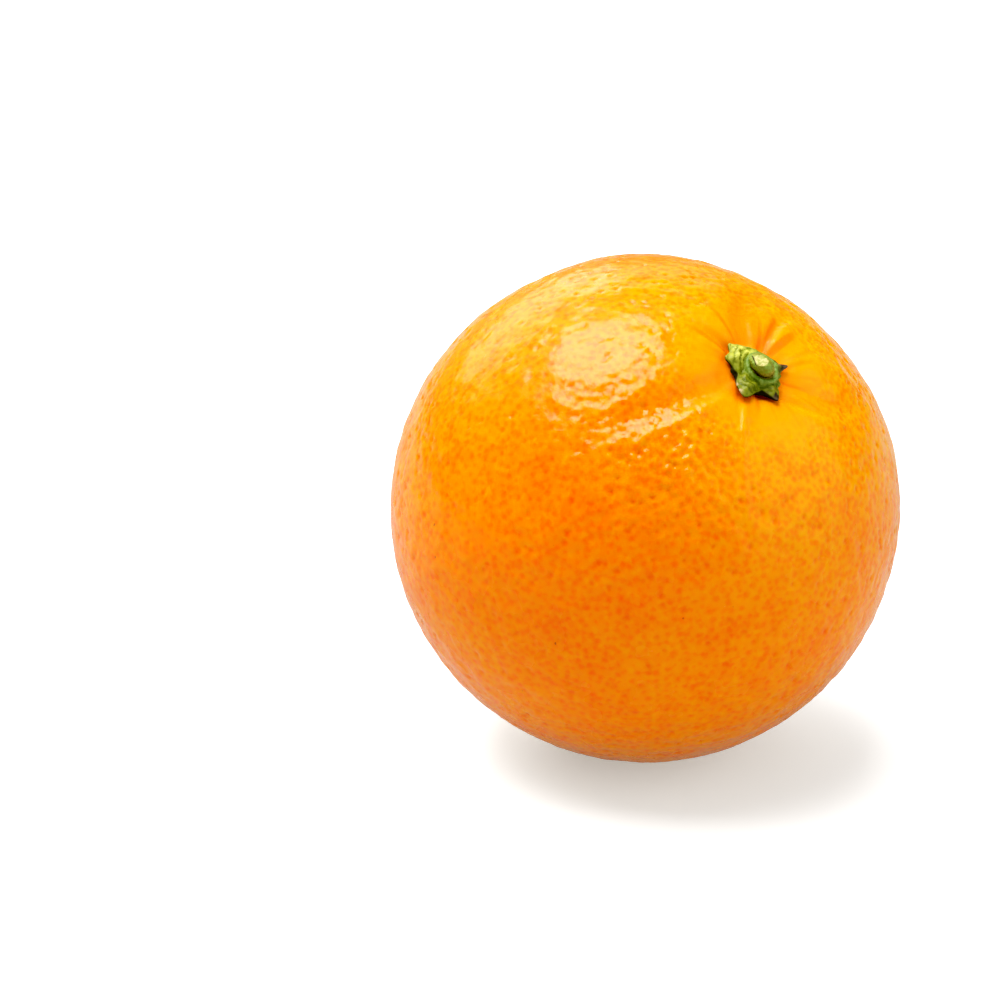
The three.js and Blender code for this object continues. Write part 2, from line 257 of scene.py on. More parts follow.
def drawSpots(draw, middles, pairs, spacing, packings):
    # corners whose random draw is the lowest among those nearer than the spacing, then the lowest
    # among the ones still clear of them
    apart = np.linalg.norm(middles[pairs[:, 0]] - middles[pairs[:, 1]], axis=1)
    near = pairs[apart < spacing]
    chosen = np.zeros(len(draw), dtype=bool)
    for _ in range(packings):
        blocked = chosen.copy()
        blocked[near[chosen[near[:, 1]], 0]] = True
        waiting = np.where(blocked, np.inf, draw)
        lowest = waiting.copy()
        np.minimum.at(lowest, near[:, 0], waiting[near[:, 1]])
        chosen |= (waiting <= lowest) & ~blocked
    return chosen


def nearestSpot(places, middles, chosen, pairs, farthest):
    # distance from each corner to the nearest spot's middle, and the corner that owns that spot
    itself = np.stack([np.arange(len(places))] * 2, axis=1)
    near = np.concatenate([itself, pairs])
    near = near[chosen[near[:, 1]]]
    reached = np.linalg.norm(places[near[:, 0]] - middles[near[:, 1]], axis=1)
    distance = np.full(len(places), farthest)
    np.minimum.at(distance, near[:, 0], reached)
    nearest = reached <= distance[near[:, 0]]
    owner = np.zeros(len(places), dtype=int)
    owner[near[nearest, 0]] = near[nearest, 1]
    return distance, owner


class Nodes:
    # short calls for building the nodes of a material, a world or a group
    def __init__(self, tree):
        self.tree = tree

    def feed(self, socket, value):
        # another node's output is linked, and anything else is set on the socket
        if isinstance(value, bpy.types.NodeSocket):
            self.tree.links.new(value, socket)
        else:
            socket.default_value = value

    def add(self, kind, inputs=None, **settings):
        # a node with its settings and its inputs, and gives its outputs
        node = self.tree.nodes.new(kind)
        for key, value in settings.items():
            setattr(node, key, value)
        for key, value in (inputs or {}).items():
            self.feed(node.inputs[key], value)
        return node.outputs

    def attribute(self, title):
        # one of the mesh's own values
        return self.add("ShaderNodeAttribute", attribute_name=title)["Fac"]

    def objectPlace(self):
        # the place on the piece, in metres
        return self.add("ShaderNodeTexCoord")["Object"]

    def rays(self, title):
        # 1 for the rays of one kind and 0 for the others
        return self.add("ShaderNodeLightPath")[title]

    def plus(self, first, second, clamp=False):
        # the sum, kept between 0 and 1 if it is clamped
        return self.add("ShaderNodeMath", {0: first, 1: second}, operation="ADD", use_clamp=clamp)[0]

    def times(self, first, second):
        # the product
        return self.add("ShaderNodeMath", {0: first, 1: second}, operation="MULTIPLY")[0]

    def ramp(self, value, fromMin, fromMax, toMin, toMax):
        # smooth ramp between the two ends of a value, clamped past them
        inputs = {"Value": value, "From Min": fromMin, "From Max": fromMax,
                  "To Min": toMin, "To Max": toMax}
        return self.add("ShaderNodeMapRange", inputs, interpolation_type="SMOOTHSTEP")["Result"]

    def mix(self, factor, first, second, blend="MIX"):
        # the two colours stand at a mix node's seventh and eighth sockets
        inputs = {0: factor, 6: first, 7: second}
        return self.add("ShaderNodeMix", inputs, data_type="RGBA", blend_type=blend)[2]

    def noise(self, place, scale, detail):
        # cloudy noise between 0 and 1
        inputs = {"Vector": place, "Scale": scale, "Detail": detail}
        return self.add("ShaderNodeTexNoise", inputs)["Fac"]

    def patches(self, place, setting):
        # the shared patches, with this material's own values in the order of patchInputs
        inputs = dict(zip(patchInputs[1:], setting), Place=place)
        return self.add("ShaderNodeGroup", inputs, node_tree=patchGroup)["Mask"]

    def fineGrain(self, place, setting):
        # the shared grain, with this material's own values in the order of grainInputs
        inputs = dict(zip(grainInputs[1:], setting), Place=place)
        return self.add("ShaderNodeGroup", inputs, node_tree=grainGroup)["Normal"]


def newGroup(name, inputTitles, outputTitle, outputKind):
    # a node group with its named sockets; the first input is a place and the others are numbers
    tree = bpy.data.node_groups.new(name, "ShaderNodeTree")
    for title in inputTitles:
        kind = "NodeSocketVector" if title == "Place" else "NodeSocketFloat"
        tree.interface.new_socket(name=title, in_out="INPUT", socket_type=kind)
    tree.interface.new_socket(name=outputTitle, in_out="OUTPUT", socket_type=outputKind)
    make = Nodes(tree)
    return tree, make, make.add("NodeGroupInput")


def makePatchGroup():
    # noise at a place, turned into a mask by a smooth ramp between Low and High
    tree, make, given = newGroup("patches", patchInputs, "Mask", "NodeSocketFloat")
    noise = make.noise(given["Place"], given["Scale"], given["Detail"])
    mask = make.ramp(noise, given["Low"], given["High"], given["From"], given["To"])
    make.add("NodeGroupOutput", {"Mask": mask})
    return tree


def makeGrainGroup():
    # noise at a place, as a bump of the surface's normal
    tree, make, given = newGroup("fine_grain", grainInputs, "Normal", "NodeSocketVector")
    noise = make.noise(given["Place"], given["Scale"], given["Detail"])
    inputs = {"Height": noise, "Strength": given["Strength"], "Distance": given["Distance"]}
    make.add("NodeGroupOutput", {"Normal": make.add("ShaderNodeBump", inputs)["Normal"]})
    return tree


patchInputs = ["Place", "Scale", "Detail", "Low", "High", "From", "To"]
grainInputs = ["Place", "Scale", "Detail", "Strength", "Distance"]
patchGroup = makePatchGroup()
grainGroup = makeGrainGroup()


def newMaterial(name, gloss):
    # a material with the values that are the same all over it set on its shader
    material = bpy.data.materials.new(name)
    material.use_nodes = True
    shader = material.node_tree.nodes["Principled BSDF"].inputs
    for title, value in gloss.items():
        shader[title].default_value = value
    return material, shader, Nodes(material.node_tree)


peelForm = {
    "frequency": 96,
    "stemCrowding": 0.35,      # how far the lattice is drawn in towards the stem
    "seed": 41,
    "stray": 0.00010,          # how far a corner strays along the skin
    "poreDepth": 0.00006,
    "poreRadius": 0.00042,
    "poreSpacing": 0.00108,
    "poreStray": 0.00018,      # how far a pore's middle strays from its corner
    "porePackings": 4,
    "smallestPore": 0.6,       # share of a full pore
    "farthest": 0.0012,        # the distance given where no pore is near
    "poreFreeRadius": 0.0075,  # the pores fade in from here out
    "poresInFull": 0.0165,
    "poreByStem": 0.15,        # share of a pore's depth that is left at the stem
    "pitDepth": 0.00021,
    "pitRadius": 0.00040,
    "pitShare": 0.10,          # of the pores, sunk deeper than the rest
    # height, wavelength and number of waves of each fine unevenness; a pleat's wavelength is a turn
    # round the stem, in radians
    "ripple": (0.00004, 0.0042, 90),
    "rippleByStem": 0.3,
    "pucker": (0.00002, 0.0021, 120),
    "wrinkle": (0.00011, 0.0014, 120),
    "wrinkleHeading": 286,     # the wrinkles lie on the shoulder in front of the calyx
    "wrinkleSpread": 32,
    "wrinkleOut": (0.022, 0.010),
    "pleat": (0.00006, 0.22, 60),
    "pleatFrom": (0.0035, 0.0052),
    "pleatUntil": (0.007, 0.016),
    "pleatHeading": 142,       # where the pleats are strongest
    "pleatSpread": 38,
    "pleatShare": (0.5, 1.2),  # of their height, all round and added where they are strongest
    "pleatTwist": 0.4,         # how much they change on the way out
    "creaseShadeDepth": 0.0006,     # a crease this deep has its full painted shade
    "pastCalyxShade": (0.0001, 0.0017),  # how far past the calyx's rim its painted contact shade fades
    "mostGoldAndLight": 0.92,
    "goldAndLightMiddle": (16, 62),    # polar angle and bearing of the most golden part, golden partly in the skin's own colour and partly as painted light from above
    "goldAndLightReach": (0.006, 0.046),
    # polar angle, bearing, amount and spread of the patches that are more or less golden, partly the
    # skin's own tone and partly painted light and painted shade
    "goldAndLightPatches": [(16, 152, -0.45, 0.007), (60, 212, 0.30, 0.017),
                (48, 306, -0.14, 0.012), (46, 32, -0.25, 0.012)],
    # colours, as red, green, blue and alpha
    "goldTone": (1.0, 0.46, 0.0, 1),
    "orangeTone": (1.0, 0.268, 0.0, 1),
    "dimTone": (1.0, 0.56, 0.5, 1),  # multiplied in, in the mottle and at the pores
    "paintedShadeTone": (1.0, 0.15, 0.0, 1),  # painted shade, in the creases and the pleats
    "pitShadeTone": (0.95, 0.09, 0.0, 1),
    "stemTone": (1.0, 0.22, 0.0, 1),
    "calyxShadeTone": (1.0, 0.13, 0.0, 1),
    "speckTone": (0.35, 0.08, 0.01, 1),
    "bounceTone": (0.78, 0.7, 0.56, 1),  # of the light that it throws on what stands round it
    "scarDark": (0.16, 0.06, 0.014, 1),
    "scarLight": (0.4, 0.2, 0.06, 1),
    # shares of painted shade in the pits, in the creases and round the calyx's rim
    "pitShade": 0.15,
    "creaseShadeShare": 0.22,
    "calyxShadeShare": 0.28,
    "bounce": 0.9,
    # each noise's scale and detail, the two ends of it that count, and what they turn into
    "broadGold": (28.0, 2.0, 0.35, 0.65, 0.0, 0.16),
    "net": (850.0, 2.0, 0.45, 0.72, 0.0, 0.22),
    "mottle": (240.0, 3.0, 0.42, 0.7, 0.0, 0.25),
    "specks": (900.0, 1.0, 0.80, 0.84, 0.0, 0.75),
    "dotEdge": (1600.0, 2.0, 0.25, 0.75, -0.16, 0.16),
    "scarEdge": (1300.0, 2.0, 0.2, 0.8, -0.5, 0.5),
    "scarPatches": (2200.0, 2.0, 0.35, 0.65, 0.0, 1.0),
    "sheen": (150.0, 3.0, 0.3, 0.7, 0.2, 0.3),
    # millimetres from a pore, the scar or the stem, and what they turn into
    "dotRamp": (0.96, 0.08, 0.0, 0.85),
    "scarRamp": (1.9, 1.1, 0.0, 0.9),
    "calmByStem": (7.0, 16.0, 0.2, 1.0),
    "stemStain": (13.0, 4.0, 0.0, 0.4),
    "dullByStem": (15.0, 6.0, 0.0, 0.16),
    "dullByCalyx": (8.0, 5.5, 0.0, 0.25),
    "pleatShade": (0.55, 0.95, 0.0, 0.5),  # painted shade, from the depth of a pleat
    "fineGrain": (1100.0, 3.0, 0.25, 0.0003),  # scale, detail, strength and distance
    "gloss": {"Subsurface Weight": 0.15, "Subsurface Radius": (1.0, 0.35, 0.08),
              "Subsurface Scale": 0.001, "Coat Weight": 0.12, "Coat Roughness": 0.1, "IOR": 1.42},
}


def crowdedSphere(rng):
    # the sphere's corners drawn in towards the stem and strayed a little, as directions
    form = peelForm
    sphere, faces = geodesicSphere(form["frequency"])
    bearing = np.arctan2(sphere[:, 1], sphere[:, 0])
    evenly = np.arccos(np.clip(sphere[:, 2], -1, 1))
    polar = evenly - form["stemCrowding"] * np.sin(evenly) * (1 + np.cos(evenly)) / 2
    directions = directionsAt(polar, bearing)
    directions += rng.uniform(-1, 1, directions.shape) * form["stray"] / fruitForm["radius"]
    return directions / np.linalg.norm(directions, axis=1, keepdims=True), faces


def strewPores(places, faces, rng):
    # every corner's distance to the nearest pore, that pore's size, and whether it is a sunk one
    form, count = peelForm, len(places)
    pairs = linksWithinTwo(faces, count)
    middles = places + rng.uniform(-1, 1, places.shape) * form["poreStray"]
    draw = rng.uniform(0, 1, count)
    pores = drawSpots(draw, middles, pairs, form["poreSpacing"], form["porePackings"])
    size = rng.uniform(form["smallestPore"], 1.0, count)
    sunk = rng.uniform(0, 1, count) < form["pitShare"]
    poreOut, owner = nearestSpot(places, middles, pores, pairs, form["farthest"])
    return poreOut, size[owner], sunk[owner]


def foldPleats(polar, bearing):
    # waves round the stem that fade in at the calyx and out again, strongest on one side
    form = peelForm
    out = polar * fruitForm["radius"]
    allRound, added = form["pleatShare"]
    around = np.stack([np.cos(bearing), np.sin(bearing), form["pleatTwist"] * polar], axis=1)
    folded = smoothRamp(out, *form["pleatFrom"]) * (1 - smoothRamp(out, *form["pleatUntil"]))
    folded *= allRound + added * bell(turnAway(bearing, form["pleatHeading"]), form["pleatSpread"])
    return waveField(around, form["pleat"], form["seed"] + 3) * folded


def wrinkleSkin(places, polar, bearing, clearOfStem):
    # height of the ripples, the puckers and the wrinkles, each a sum of waves over the skin
    form = peelForm
    ripple = form["ripple"][0] * waveField(places, form["ripple"], form["seed"] + 1)
    pucker = form["pucker"][0] * waveField(places, form["pucker"], form["seed"] + 2)
    wrinkle = form["wrinkle"][0] * waveField(places, form["wrinkle"], form["seed"] + 4)
    wrinkle *= bell(turnAway(bearing, form["wrinkleHeading"]), form["wrinkleSpread"])
    middle, spread = form["wrinkleOut"]
    wrinkle *= bell(polar * fruitForm["radius"] - middle, spread)
    rippled = form["rippleByStem"] + (1 - form["rippleByStem"]) * clearOfStem
    return ripple * rippled + pucker + wrinkle


def goldAndPaintedLight(directions):
    # golden round its middle, with patches that are more or less so; this is partly the skin's own
    # colour and partly painted light on the top of the fruit
    form, radius = peelForm, fruitForm["radius"]
    fromMiddle = radius * angleFrom(directions, *form["goldAndLightMiddle"])
    # the golden cap is partly painted light: the peel is made more golden where the lamps fall from
    # above
    goldAndLight = form["mostGoldAndLight"] * (1 - smoothRamp(fromMiddle, *form["goldAndLightReach"]))
    for polarAt, bearingAt, amount, spread in form["goldAndLightPatches"]:
        goldAndLight += amount * bell(radius * angleFrom(directions, polarAt, bearingAt), spread)
    return goldAndLight


def makePeel():
    # the even fruit, less the creases, pores and pits, with the fine unevenness, cut flat below
    form, radius = peelForm, fruitForm["radius"]
    rng = np.random.default_rng(form["seed"])
    directions, faces = crowdedSphere(rng)
    polar = np.arccos(np.clip(directions[:, 2], -1, 1))
    bearing = np.arctan2(directions[:, 1], directions[:, 0])
    places = directions * radius
    out = polar * radius
    poreOut, size, sunk = strewPores(places, faces, rng)
    clearOfStem = smoothRamp(out, form["poreFreeRadius"], form["poresInFull"])
    shallow = form["poreByStem"]
    poreField = size * bell(poreOut, form["poreRadius"]) * (shallow + (1 - shallow) * clearOfStem)
    pitField = sunk * bell(poreOut, form["pitRadius"]) * clearOfStem
    crease = creaseDepths(polar, bearing)
    pleats = foldPleats(polar, bearing)
    reach = evenReach(polar, bearing) - crease + form["pleat"][0] * pleats
    reach += wrinkleSkin(places, polar, bearing, clearOfStem)
    reach -= form["poreDepth"] * poreField + form["pitDepth"] * pitField
    points = directions * reach[:, None]
    down = ownToRest.T @ np.array([0, 0, -1.0])
    overshoot = np.clip(points @ down - restReach, 0, None)
    points -= overshoot[:, None] * down
    attributes = {
        "poreOut": 1000 * poreOut / size,    # millimetres, for the material's ramps
        "pore": size * clearOfStem,
        "pit": np.clip(pitField, 0, 1),
        "creaseShade": np.clip(crease / form["creaseShadeDepth"], 0, 1),
        "fromStem": 1000 * out,
        "fromScar": 1000 * (np.pi * radius - out),
        "calyxContactShade": 1 - smoothRamp(out - calyxReach(bearing), *form["pastCalyxShade"]),
        "goldAndLight": goldAndPaintedLight(directions),
        "pleat": np.clip(0.5 - 0.5 * pleats, 0, 1),
    }
    return meshObject("peel", atRest(points), faces, attributes)


def peelMaterial():
    # orange to golden, partly as painted light from above, with a golden net, a dimmer mottle and
    # dots at the pores;
    # painted shade in the pits, creases and folds and round the calyx's rim, stained at the scar,
    # dull round the stem;
    # it throws back a paler light
    form = peelForm
    material, shader, make = newMaterial("orange_peel", form["gloss"])
    place = make.objectPlace()
    fromStem = make.attribute("fromStem")
    # partly painted light: the top of the fruit is made more golden
    blend = make.plus(make.attribute("goldAndLight"), make.patches(place, form["broadGold"]), clamp=True)
    colour = make.mix(blend, form["orangeTone"], form["goldTone"])
    awayFromStem = make.ramp(fromStem, *form["calmByStem"])
    net = make.times(make.patches(place, form["net"]), awayFromStem)
    colour = make.mix(net, colour, form["goldTone"])
    mottle = make.times(make.patches(place, form["mottle"]), awayFromStem)
    colour = make.mix(mottle, colour, form["dimTone"], "MULTIPLY")
    ragged = make.plus(make.attribute("poreOut"), make.patches(place, form["dotEdge"]))
    dot = make.times(make.ramp(ragged, *form["dotRamp"]), make.attribute("pore"))
    colour = make.mix(dot, colour, form["dimTone"], "MULTIPLY")
    # painted shade: the sunk pits are coloured darker and redder
    pit = make.times(make.attribute("pit"), form["pitShade"])
    colour = make.mix(pit, colour, form["pitShadeTone"])
    # painted shade: the creases are coloured deeper orange where shade falls in them
    creaseShade = make.times(make.attribute("creaseShade"), form["creaseShadeShare"])
    colour = make.mix(creaseShade, colour, form["paintedShadeTone"])
    colour = make.mix(make.ramp(fromStem, *form["stemStain"]), colour, form["stemTone"])
    colour = make.mix(make.patches(place, form["specks"]), colour, form["speckTone"])
    # painted shade in the troughs of the pleats round the stem
    folds = make.ramp(make.attribute("pleat"), *form["pleatShade"])
    colour = make.mix(folds, colour, form["paintedShadeTone"])
    bounce = make.times(make.rays("Is Diffuse Ray"), form["bounce"])
    colour = make.mix(bounce, colour, form["bounceTone"])
    # painted contact shade: the skin is redder and darker just round the calyx's rim
    calyxContactShade = make.times(make.attribute("calyxContactShade"), form["calyxShadeShare"])
    colour = make.mix(calyxContactShade, colour, form["calyxShadeTone"])
    ragged = make.plus(make.attribute("fromScar"), make.patches(place, form["scarEdge"]))
    scarTone = make.mix(make.patches(place, form["scarPatches"]), form["scarDark"], form["scarLight"])
    colour = make.mix(make.ramp(ragged, *form["scarRamp"]), colour, scarTone)
    make.feed(shader["Base Color"], colour)
    rough = make.plus(make.patches(place, form["sheen"]), make.ramp(fromStem, *form["dullByStem"]))
    rough = make.plus(rough, make.ramp(fromStem, *form["dullByCalyx"]))
    make.feed(shader["Roughness"], rough)
    make.feed(shader["Normal"], make.fineGrain(place, form["fineGrain"]))
    return material


calyxForm = {
    "seed": 77,
    "sides": 320,
    "underRows": 12,
    "underShare": (0.02, 0.98),  # of the way out, from the first of these rows to the last
    "rimRows": 12,
    "topRows": 150,
    "topShare": (0.01, 0.995),   # of the way in
    # bearing in degrees and reach of the rim
    "rim": [(356, 0.0063), (8, 0.0052), (22, 0.0044), (40, 0.0040), (64, 0.0040), (73, 0.0045),
            (79, 0.0058), (85, 0.0047), (99, 0.0042), (120, 0.0039), (134, 0.0038), (152, 0.0037),
            (171, 0.0041), (188, 0.0046), (199, 0.0053), (206, 0.0058), (212, 0.0053), (222, 0.0050),
            (231, 0.0052), (237, 0.0056), (243, 0.0050), (254, 0.0042), (268, 0.0040), (276, 0.0042),
            (284, 0.0052), (292, 0.0061), (304, 0.0070), (314, 0.0060), (325, 0.0047), (336, 0.0042),
            (347, 0.0048)],
    "rimSoftening": 3,         # degrees to either side over which the rim is averaged
    # bearing and half-width in degrees of each lobe, its bulge, its rim's lift and its thickness
    "lobes": [
        {"at": 220, "halfWidth": 27, "bulge": 0.00045, "lift": 0.00010, "thickness": 0.00065},
        {"at": 303, "halfWidth": 22, "bulge": 0.00040, "lift": 0.00020, "thickness": 0.00045},
        {"at": 354, "halfWidth": 18, "bulge": 0.00035, "lift": 0.00035, "thickness": 0.00035},
        {"at": 79, "halfWidth": 11, "bulge": 0.00000, "lift": 0.00045, "thickness": 0.00014},
        {"at": 145, "halfWidth": 24, "bulge": 0.00015, "lift": 0.00005, "thickness": 0.00050},
    ],
    # bearing and depth of each furrow between the lobes and of the fold down the pointed one
    "furrows": [(264, 0.00042), (332, 0.00045), (350, 0.00022), (32, 0.00032), (104, 0.00020),
                (176, 0.00028)],
    "furrowWidth": 0.00034,
    "underside": 0.00020,      # its height over the skin
    "rimRound": 0.00030,
    "rimThickness": 0.00050,
    "rimWeight": 0.25,         # of the plain thickness, against the lobes' own
    "liftFrom": 0.55,          # share of the way out at which the underside starts to lift
    "liftSpread": 0.8,         # of a lobe's half-width
    "plateHeight": 0.00118,
    "slope": 0.0017,           # how far in from the rim the top starts to fall
    "bulgeShift": 0.0002,      # past halfway from the collar to the rim, where the lobes bulge most
    "bulgeSpread": 0.36,       # of the distance of that from the stem line
    "middle": (0.00052, 0.00040),  # of the collar and the stub, off the stem line
    "seatRadius": 0.00184,
    "seatFloor": 0.00155,
    "seatWall": 0.0005,
    "ringRadius": 0.00244,     # the raised collar round the stub, half round in section
    "ringWidth": 0.00054,
    "ringHeight": 0.00062,
    "ringWander": 0.00008,
    "ringTurn": 0.8,           # radians
    "pastRing": (0.0003, 0.0010),  # how far outside the collar the furrows and folds fade in
    # height, wavelength and number of waves of each unevenness; the ragged rim's wavelength is a
    # turn, in radians
    "ragged": (0.00009, 0.3, 50),
    "lump": (0.00005, 0.0012, 60),
    "grain": (0.000018, 0.00045, 90),
    "stainWander": (0.0004, 0.0012, 40),
    "evened": 0.6,             # share of them that is lost at the rim and again on the collar
    "foldDepth": 0.00013,
    "foldLength": 0.00105,
    "foldMean": 1.27,          # of the folds' own wave
    "foldSway": 0.45,          # how far the lumps push the folds, in radians
    "foldTurn": (250, 0.03),   # the bearing that the folds slant from, and radians for a degree
    "folded": [(213, 40, 1.0), (312, 42, 0.8)],  # bearing, spread and share of the folded parts
    # the crest mark paints highlight on the raised parts and shade in the furrows
    "crestLightMiddle": 0.5,
    "crestLightParts": (0.45, 0.16, 0.13),  # what the folds, lumps and grain add to the crests' painted highlight
    "rimCrestLight": 0.45,
    "shadeSkirt": 0.00100,          # how far the dark underside, as painted shade, is spread past the rim in two places
    "shadeSkirtHeadings": (266, 337),
    "shadeSkirtSpread": 15,
    "shadeSkirtTurn": (-0.5, 1.2),  # radians down round the rim between which the skirt spreads out
    "shadeTurn": (-0.5, 0.7),  # radians up round the rim between which the underside's dark tone ends; on the rim's lower half it is painted shade
    "shadeRise": 0.6,          # radians by which that is higher over the skirt
    "ringStain": 1.15,         # of the collar's width
    "seatStain": (-0.0001, 0.0003),  # past the seat's radius, where its tone fades
    # bearing and spread of each stain and of the painted light, the distances between which it fades,
    # and the last one's share
    # painted light on the upper left lobe, which is made lime where it faces the lamps
    "sunnyPaintedLight": (194, 48, 0.0027, 0.0034),
    "dryTips": [(79, 17), (357, 15)],
    "secondTipOut": (0.0044, 0.0054),  # distances from the stem line, as the next
    "dryOut": (0.0033, 0.0046),
    "paleStain": (293, 6, 0.0001, 0.0006),
    # a painted highlight along the rim on the upper left
    "paintedLitEdge": (190, 17, 0.0004, 0.0012, 0.7),
    # colours, as red, green, blue and alpha
    # painted shade in the furrows and painted highlight on the crests, for the plain parts, the
    # collar and the lime lobe
    "furrowShadeTone": (0.14, 0.165, 0.014, 1),
    "crestHighlightTone": (0.29, 0.31, 0.035, 1),
    "oliveTone": (0.18, 0.21, 0.013, 1),
    "oliveShare": 0.35,
    "ringShadeTone": (0.2, 0.32, 0.06, 1),
    "ringHighlightTone": (0.29, 0.41, 0.11, 1),
    "limeShadeTone": (0.34, 0.38, 0.04, 1),
    "limeHighlightTone": (0.8, 0.8, 0.16, 1),
    "brownTone": (0.045, 0.028, 0.014, 1),
    "dustTone": (0.16, 0.12, 0.07, 1),
    # the underside's own dry dark tone, which is also painted shade on the rim's lower half and past
    # the rim
    "underTone": (0.022, 0.014, 0.006, 1),
    "underShade": 0.94,
    "paleTone": (0.9, 0.62, 0.4, 1),
    "seatTone": (0.3, 0.25, 0.05, 1),
    # each noise's scale and detail, the two ends of it that count, and what they turn into
    "patches": (1100.0, 3.0, 0.38, 0.62, 0.0, 1.0),
    "dryPatches": (1800.0, 2.0, 0.2, 0.5, 0.6, 1.0),
    # the two ends of a mask that count, and what they turn into
    "crestLightRamp": (0.1, 0.9, 0.0, 1.0),
    "sunnyLightRamp": (0.0, 1.0, 0.65, 1.0),
    "roughness": (0.0, 0.6, 0.42, 0.85),
    "fineGrain": (2600.0, 4.0, 0.55, 0.0002),  # scale, detail, strength and distance
    "gloss": {"Specular IOR Level": 0.4},
}


def calyxReach(bearing):
    # the rim runs straight from point to point, averaged over five bearings, and a little ragged
    form = calyxForm
    rim = np.array(sorted(form["rim"]))
    softening = np.radians(form["rimSoftening"]) * np.linspace(-1, 1, 5)[:, None]
    turns = (bearing + softening) % (2 * np.pi)
    reach = np.interp(turns, np.radians(rim[:, 0]), rim[:, 1], period=2 * np.pi).mean(axis=0)
    circle = np.stack([np.cos(bearing), np.sin(bearing), 0 * bearing], axis=-1)
    return reach + form["ragged"][0] * waveField(circle, form["ragged"], form["seed"] + 3)


def fromCollar(out, bearing):
    # distance from the middle of the collar
    aside, along = calyxForm["middle"]
    return np.hypot(out * np.cos(bearing) - aside, out * np.sin(bearing) - along)


def lobeField(bearing, title, spread=1.0):
    # one of the lobes' own values, spread round the calyx by a bell at each lobe
    total = np.zeros_like(bearing)
    for lobe in calyxForm["lobes"]:
        total += lobe[title] * bell(turnAway(bearing, lobe["at"]), spread * lobe["halfWidth"])
    return total


def rimThickness(bearing):
    # the lobes' own thickness at the rim, and the plain one between them, as a weighted mean
    form = calyxForm
    weight, total = np.zeros_like(bearing), np.zeros_like(bearing)
    for lobe in form["lobes"]:
        share = bell(turnAway(bearing, lobe["at"]), lobe["halfWidth"])
        weight += share
        total += share * lobe["thickness"]
    return (total + form["rimWeight"] * form["rimThickness"]) / (weight + form["rimWeight"])


def shadeSkirtField(bearing):
    # where round the rim the dark underside is spread past it as painted shade: a bell at each of its
    # headings
    form = calyxForm
    return sum(bell(turnAway(bearing, at), form["shadeSkirtSpread"]) for at in form["shadeSkirtHeadings"])


def foldWaves(collar, bearing, lumps):
    # sharp-bottomed folds, |cos| of the distance from the collar, that the lumps push about
    form = calyxForm
    heading, twist = form["foldTurn"]
    wave = 2 * np.pi * collar / form["foldLength"] + form["foldSway"] * lumps
    wave += twist * turnAway(bearing, heading)
    folded = sum(share * bell(turnAway(bearing, at), spread) for at, spread, share in form["folded"])
    return (2 * np.abs(np.cos(wave / 2)) - form["foldMean"]) * np.clip(folded, 0, 1)


def calyxTop(out, bearing, reach):
    # height of the top over the skin: a plate with bulging lobes and furrows between them, the
    # collar ring and the furrow outside it, folds along the lobes, all falling to the rim
    form = calyxForm
    spots = np.stack([out * np.cos(bearing), out * np.sin(bearing), 0 * out], axis=-1)
    lumps = waveField(spots, form["lump"], form["seed"])
    grain = waveField(spots, form["grain"], form["seed"] + 1)
    collar = fromCollar(out, bearing)
    nearRing, farRing = form["pastRing"]
    beyondRing = smoothRamp(collar, form["ringRadius"] + nearRing, form["ringRadius"] + farRing)
    bulgeAt = 0.5 * (form["ringRadius"] + reach) + form["bulgeShift"]
    bulge = lobeField(bearing, "bulge") * bell(out - bulgeAt, form["bulgeSpread"] * bulgeAt)
    height = form["plateHeight"] + bulge
    for heading, depth in form["furrows"]:
        across = out * np.radians(turnAway(bearing, heading))
        height -= depth * bell(across, form["furrowWidth"]) * beyondRing
    fold = foldWaves(collar, bearing, lumps) * beyondRing
    level = reach - form["rimRound"]
    edge = form["underside"] + lobeField(bearing, "lift", form["liftSpread"]) + rimThickness(bearing)
    fall = smoothRamp(out, level - form["slope"], level)
    height = height * (1 - fall) + edge * fall
    ringAt = form["ringRadius"] + form["ringWander"] * np.cos(2 * bearing + form["ringTurn"])
    uneven = form["foldDepth"] * fold + form["lump"][0] * lumps + form["grain"][0] * grain
    onRing = bell(collar - ringAt, form["ringWidth"])
    height += uneven * (1 - form["evened"] * fall) * (1 - form["evened"] * onRing)
    section = 1 - ((collar - ringAt) / form["ringWidth"]) ** 2
    height += form["ringHeight"] * np.sqrt(np.clip(section, 0, 1))
    # the crests, for painted highlight where the relief stands up
    byFold, byLump, byGrain = form["crestLightParts"]
    crestLight = form["crestLightMiddle"] + byFold * fold + byLump * lumps + byGrain * grain
    return height, np.clip(crestLight, 0, 1)


def undersideRows(bearing, reach):
    # rows out from the middle at an even height, lifted towards the rim where a lobe lifts
    form = calyxForm
    share = np.linspace(*form["underShare"], form["underRows"])[:, None]
    out = share * (reach - form["rimRound"] + form["shadeSkirt"] * shadeSkirtField(bearing))
    lift = lobeField(bearing, "lift", form["liftSpread"])
    return out, form["underside"] + lift * smoothRamp(share, form["liftFrom"], 1)


def rimRows(bearing, reach):
    # half a turn round the rim's thickness, its lower part spread out past the rim as painted shade;
    # also how much of each spot has the underside's dark tone, which on the rim and past it is
    # painted shade
    form = calyxForm
    shadeSkirt = shadeSkirtField(bearing)
    turn = np.radians(np.linspace(-90, 90, form["rimRows"]))[:, None]
    out = reach - form["rimRound"] + form["rimRound"] * np.cos(turn)
    out = out + form["shadeSkirt"] * shadeSkirt * smoothRamp(-turn, *form["shadeSkirtTurn"])
    lift = lobeField(bearing, "lift", form["liftSpread"])
    height = form["underside"] + lift + 0.5 * rimThickness(bearing) * (1 + np.sin(turn))
    return out, height, 1 - smoothRamp(turn - form["shadeRise"] * shadeSkirt, *form["shadeTurn"])


